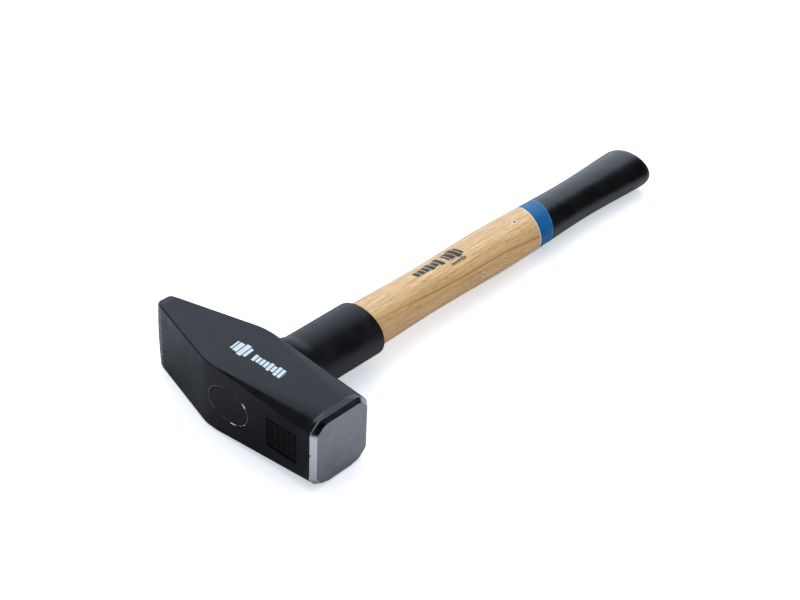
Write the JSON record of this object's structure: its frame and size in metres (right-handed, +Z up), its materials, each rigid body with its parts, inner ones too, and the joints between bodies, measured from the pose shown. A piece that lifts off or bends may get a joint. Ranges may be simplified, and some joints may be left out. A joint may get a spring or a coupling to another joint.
{
  "type": "cross-pein hammer",
  "caption": "Heavy cross-pein hammer: painted forged head with a ground square face, oval wooden handle, rubber guard collar below the head and a dipped grip.",
  "frame": {"origin": "centre of the hammer's footprint, on the surface that it lies on", "axes": "+Y from the head to the butt, +X from the pein to the striking face, +Z up"},
  "size_m": [0.1532, 0.4008, 0.0484],
  "materials": {
    "head_paint": "semi-matte black paint over forged steel, ground bare on the striking face and its bevel",
    "handle_wood": "sanded and oiled ash, with a glossy black dipped grip and a blue band",
    "wedge_wood": "raw hardwood",
    "wedge_steel": "raw steel",
    "collar_rubber": "matte black"
  },
  "bodies": {
    "root": {"hammer_head": "head_paint", "handle": "handle_wood", "wood_wedge": "wedge_wood", "ring_wedge": "wedge_steel", "guard_collar": "collar_rubber"}
  },
  "joints": []
}
